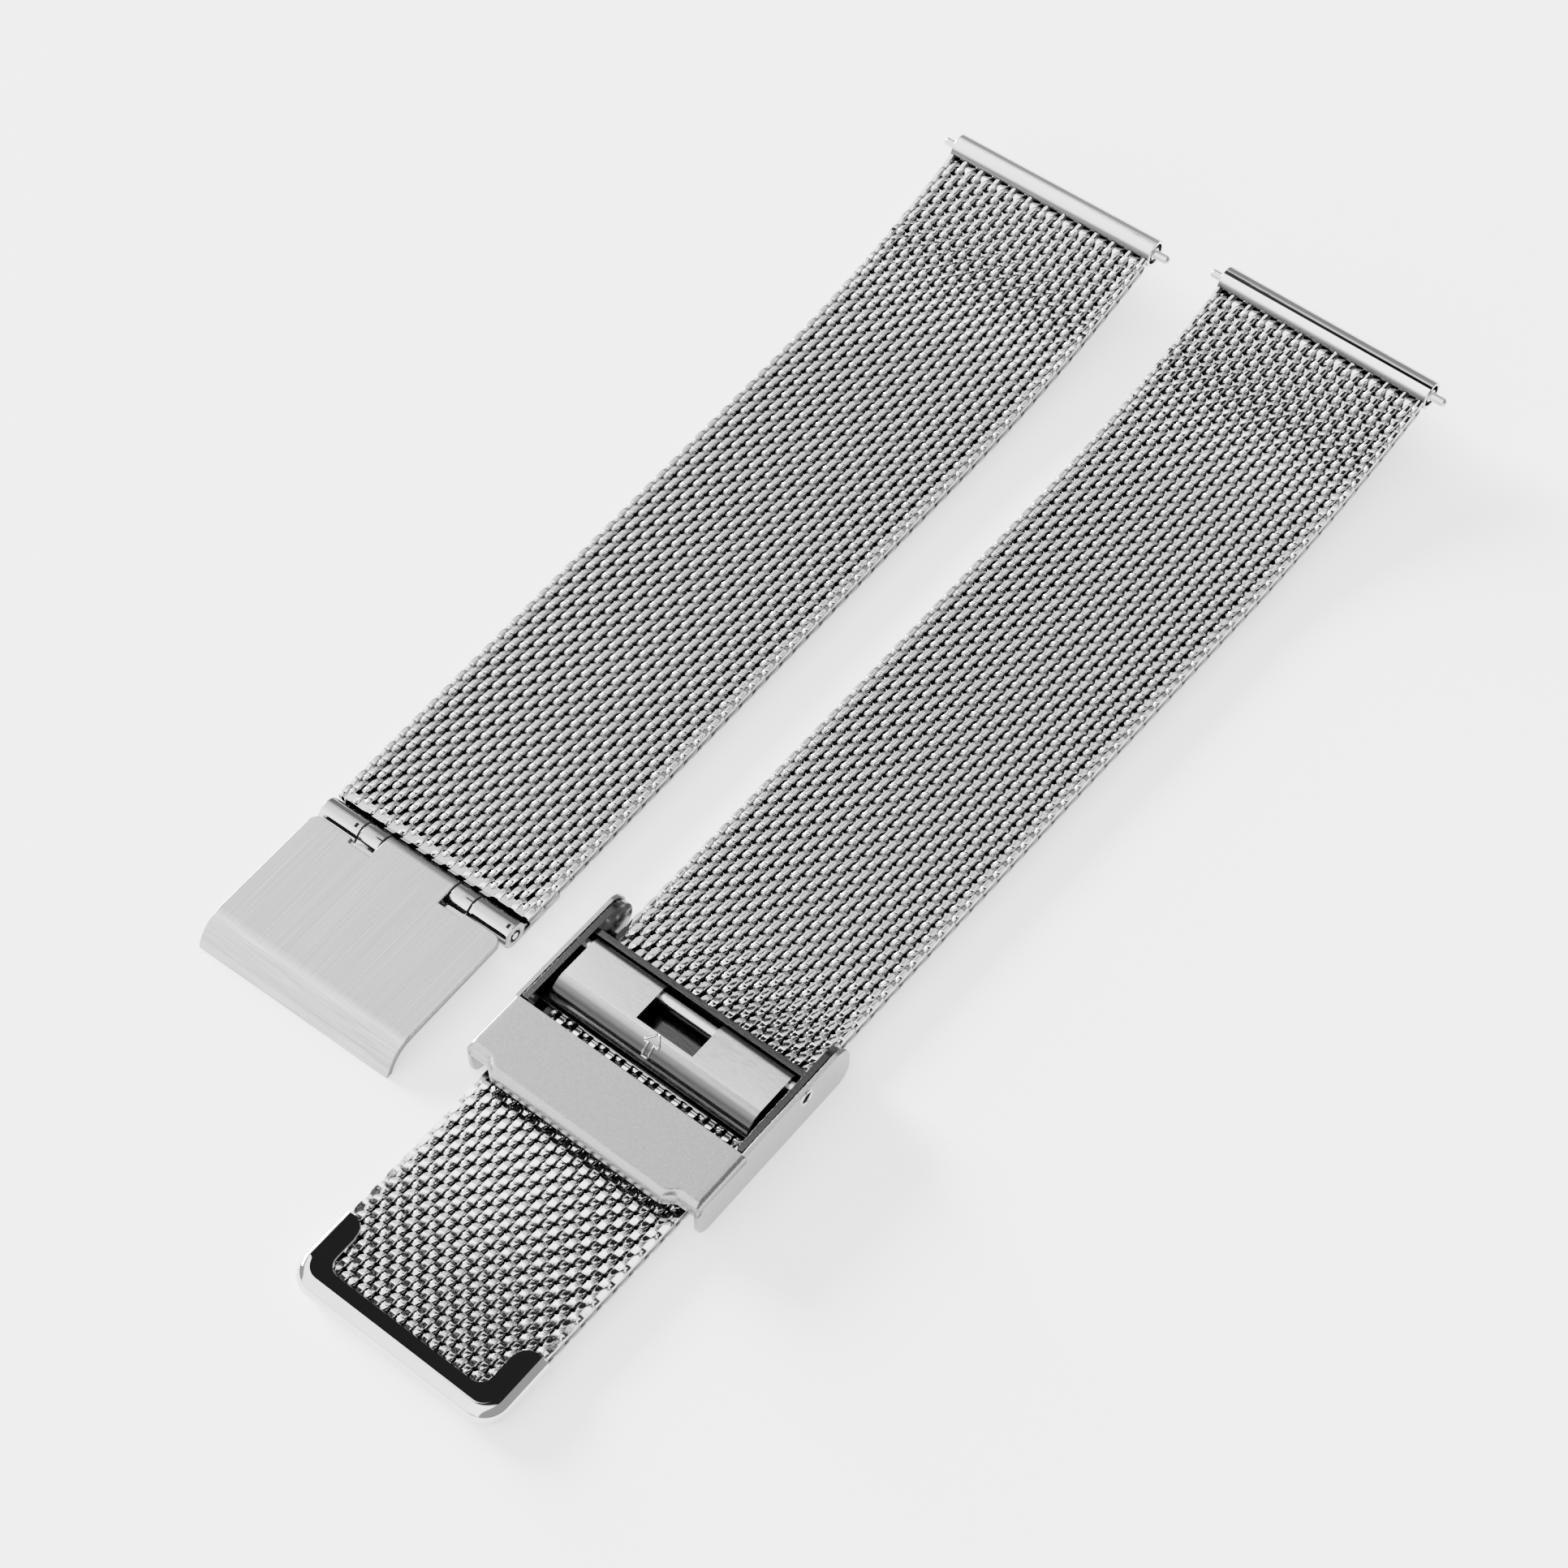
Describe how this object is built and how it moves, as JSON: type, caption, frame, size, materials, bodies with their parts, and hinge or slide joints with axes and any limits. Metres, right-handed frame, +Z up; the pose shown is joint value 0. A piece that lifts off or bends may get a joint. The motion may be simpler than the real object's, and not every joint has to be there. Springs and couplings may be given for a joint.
{
  "type": "mesh watch band",
  "caption": "Woven steel mesh watch band laid open, with spring bars, a sliding lock, and a hinged cover plate with a hook.",
  "frame": {"origin": "on the surface that the band lies on, under the centre of the whole layout", "axes": "+X from strap A (cover plate) towards strap B (sliding lock), +Y towards the lug ends, +Z up from the surface; strap B is turned by 1.25 degrees about Z as in the picture"},
  "size_m": [0.0482, 0.1132, 0.0058],
  "materials": {
    "mesh_wire": "polished stainless wire, woven, with the tops of the coils ground flat",
    "polished_tube": "polished stainless steel",
    "bar_steel": "drawn stainless steel",
    "spring_wire": "drawn spring steel",
    "polished_steel": "polished stainless steel",
    "pin_steel": "polished stainless steel",
    "hook_steel": "satin stainless spring sheet",
    "brushed_plate": "brushed along the strap, with polished edges",
    "satin_frame": "fine satin, brushed along the strap",
    "tray_steel": "polished stainless steel",
    "satin_flap": "bright satin",
    "polished_cap": "polished stainless steel"
  },
  "bodies": {
    "spring_bars": {"spring_bar_a": "bar_steel", "bar_spring_a": "spring_wire", "spring_bar_b": "bar_steel", "bar_spring_b": "spring_wire"},
    "tip_a_left": {"tip_a_left": "bar_steel"},
    "tip_a_right": {"tip_a_right": "bar_steel"},
    "strap_a_lug": {"lug_tube_a": "polished_tube", "mesh_a_0": "mesh_wire"},
    "strap_a_1": {"mesh_a_1": "mesh_wire"},
    "strap_a_2": {"mesh_a_2": "mesh_wire"},
    "strap_a_3": {"mesh_a_3": "mesh_wire"},
    "strap_a_4": {"mesh_a_4": "mesh_wire"},
    "strap_a_5": {"mesh_a_5": "mesh_wire"},
    "strap_a_6": {"mesh_a_6": "mesh_wire"},
    "strap_a_end": {"mesh_a_7": "mesh_wire", "end_link": "polished_steel", "hinge_pin": "pin_steel"},
    "tip_b_left": {"tip_b_left": "bar_steel"},
    "tip_b_right": {"tip_b_right": "bar_steel"},
    "strap_b_lug": {"lug_tube_b": "polished_tube", "mesh_b_0": "mesh_wire"},
    "strap_b_1": {"mesh_b_1": "mesh_wire"},
    "strap_b_2": {"mesh_b_2": "mesh_wire"},
    "strap_b_3": {"mesh_b_3": "mesh_wire"},
    "strap_b_4": {"mesh_b_4": "mesh_wire"},
    "strap_b_5": {"mesh_b_5": "mesh_wire"},
    "strap_b_tail": {"mesh_b_6": "mesh_wire", "tail_cap": "polished_cap"},
    "cover": {"cover_plate": "brushed_plate"},
    "hook": {"hook_leaf": "hook_steel"},
    "lock_slider": {"slider_frame": "satin_frame", "lock_tray": "tray_steel", "lock_pin": "pin_steel"},
    "lock_lever": {"lock_flap": "satin_flap"}
  },
  "joints": [
    {"name": "press_tip_a_left", "type": "slide", "parent": "spring_bars", "child": "tip_a_left", "axis": [1, 0, 0], "range_m": [0, 0.0012], "stiffness_N_per_m": 1500, "springref_m": -0.001},
    {"name": "press_tip_a_right", "type": "slide", "parent": "spring_bars", "child": "tip_a_right", "axis": [-1, 0, 0], "range_m": [0, 0.0012], "stiffness_N_per_m": 1500, "springref_m": -0.001},
    {"name": "swing_a", "type": "hinge", "parent": "spring_bars", "child": "strap_a_lug", "pos_m": [-0.01285, 0.05441, 0.00462], "axis": [1, 0, 0], "range_deg": [-90, 90]},
    {"name": "bend_a_1", "type": "hinge", "parent": "strap_a_lug", "child": "strap_a_1", "pos_m": [-0.01285, 0.04862, 0.0032], "axis": [1, 0, 0], "range_deg": [-35, 35]},
    {"name": "bend_a_2", "type": "hinge", "parent": "strap_a_1", "child": "strap_a_2", "pos_m": [-0.01285, 0.03891, 0.00163], "axis": [1, 0, 0], "range_deg": [-35, 35]},
    {"name": "bend_a_3", "type": "hinge", "parent": "strap_a_2", "child": "strap_a_3", "pos_m": [-0.01285, 0.02908, 0.0011], "axis": [1, 0, 0], "range_deg": [-35, 35]},
    {"name": "bend_a_4", "type": "hinge", "parent": "strap_a_3", "child": "strap_a_4", "pos_m": [-0.01285, 0.01924, 0.0011], "axis": [1, 0, 0], "range_deg": [-35, 35]},
    {"name": "bend_a_5", "type": "hinge", "parent": "strap_a_4", "child": "strap_a_5", "pos_m": [-0.01285, 0.0094, 0.0011], "axis": [1, 0, 0], "range_deg": [-35, 35]},
    {"name": "bend_a_6", "type": "hinge", "parent": "strap_a_5", "child": "strap_a_6", "pos_m": [-0.01285, -0.00044, 0.0011], "axis": [1, 0, 0], "range_deg": [-35, 35]},
    {"name": "bend_a_7", "type": "hinge", "parent": "strap_a_6", "child": "strap_a_end", "pos_m": [-0.01285, -0.01028, 0.0011], "axis": [1, 0, 0], "range_deg": [-35, 35]},
    {"name": "press_tip_b_left", "type": "slide", "parent": "spring_bars", "child": "tip_b_left", "axis": [0.9998, -0.0218, 0], "range_m": [0, 0.0012], "stiffness_N_per_m": 1500, "springref_m": -0.001},
    {"name": "press_tip_b_right", "type": "slide", "parent": "spring_bars", "child": "tip_b_right", "axis": [-0.9998, 0.0218, 0], "range_m": [0, 0.0012], "stiffness_N_per_m": 1500, "springref_m": -0.001},
    {"name": "swing_b", "type": "hinge", "parent": "spring_bars", "child": "strap_b_lug", "pos_m": [0.01287, 0.05531, 0.00462], "axis": [0.9998, -0.0218, 0], "range_deg": [-90, 90]},
    {"name": "bend_b_1", "type": "hinge", "parent": "strap_b_lug", "child": "strap_b_1", "pos_m": [0.01275, 0.04953, 0.0032], "axis": [0.9998, -0.0218, 0], "range_deg": [-35, 35]},
    {"name": "bend_b_2", "type": "hinge", "parent": "strap_b_1", "child": "strap_b_2", "pos_m": [0.01253, 0.03981, 0.00163], "axis": [0.9998, -0.0218, 0], "range_deg": [-35, 35]},
    {"name": "bend_b_3", "type": "hinge", "parent": "strap_b_2", "child": "strap_b_3", "pos_m": [0.01232, 0.02999, 0.0011], "axis": [0.9998, -0.0218, 0], "range_deg": [-35, 35]},
    {"name": "bend_b_4", "type": "hinge", "parent": "strap_b_3", "child": "strap_b_4", "pos_m": [0.0121, 0.02015, 0.0011], "axis": [0.9998, -0.0218, 0], "range_deg": [-35, 35]},
    {"name": "bend_b_5", "type": "hinge", "parent": "strap_b_4", "child": "strap_b_5", "pos_m": [0.01189, 0.01032, 0.0011], "axis": [0.9998, -0.0218, 0], "range_deg": [-35, 35]},
    {"name": "bend_b_6", "type": "hinge", "parent": "strap_b_5", "child": "strap_b_tail", "pos_m": [0.01168, 0.00048, 0.0011], "axis": [0.9998, -0.0218, 0], "range_deg": [-35, 35]},
    {"name": "cover_hinge", "type": "hinge", "parent": "strap_a_end", "child": "cover", "pos_m": [-0.01285, -0.02567, 0.0011], "axis": [-1, 0, 0], "range_deg": [-30, 110]},
    {"name": "hook_hinge", "type": "hinge", "parent": "cover", "child": "hook", "pos_m": [-0.01285, -0.02567, 0.0011], "axis": [1, 0, 0], "range_deg": [0, 90]},
    {"name": "lock_slide", "type": "slide", "parent": "strap_b_tail", "child": "lock_slider", "axis": [0.0218, 0.9998, 0], "range_m": [-0.012, 0.018]},
    {"name": "lock_flap_hinge", "type": "hinge", "parent": "lock_slider", "child": "lock_lever", "pos_m": [0.01114, -0.02428, 0.00325], "axis": [-0.9998, 0.0218, 0], "range_deg": [0, 90]}
  ]
}
